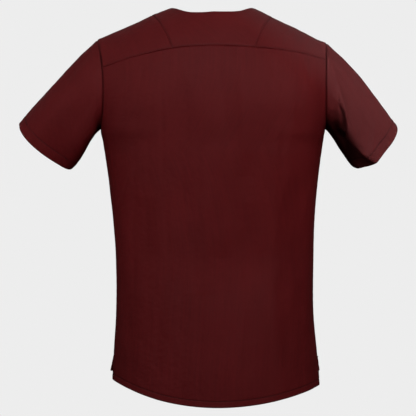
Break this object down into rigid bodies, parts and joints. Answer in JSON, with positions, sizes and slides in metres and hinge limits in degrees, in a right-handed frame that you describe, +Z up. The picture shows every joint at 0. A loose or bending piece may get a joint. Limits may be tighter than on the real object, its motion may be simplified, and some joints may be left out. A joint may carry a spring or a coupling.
{
  "type": "scrub top",
  "caption": "Short-sleeved pull-over medical scrub top with a back yoke, a V neck and side vents, in its hollow worn form.",
  "frame": {"origin": "midway between the wearer's shoulders, on the shoulder line where they carry the cloth", "axes": "+Z up, +Y out of the garment's front, so its back faces -Y; the wearer's left sleeve is at -X and the right one at +X"},
  "size_m": [0.7292, 0.2493, 0.743],
  "materials": {
    "cloth": "matt wine-red cotton and polyester twill"
  },
  "bodies": {
    "root": {"back_panel": "cloth", "front_panel": "cloth", "yoke_centre": "cloth", "shoulder_yoke_left": "cloth", "shoulder_yoke_right": "cloth", "neck_band_left": "cloth", "neck_band_right": "cloth", "sleeve_left": "cloth", "sleeve_right": "cloth"}
  },
  "joints": []
}
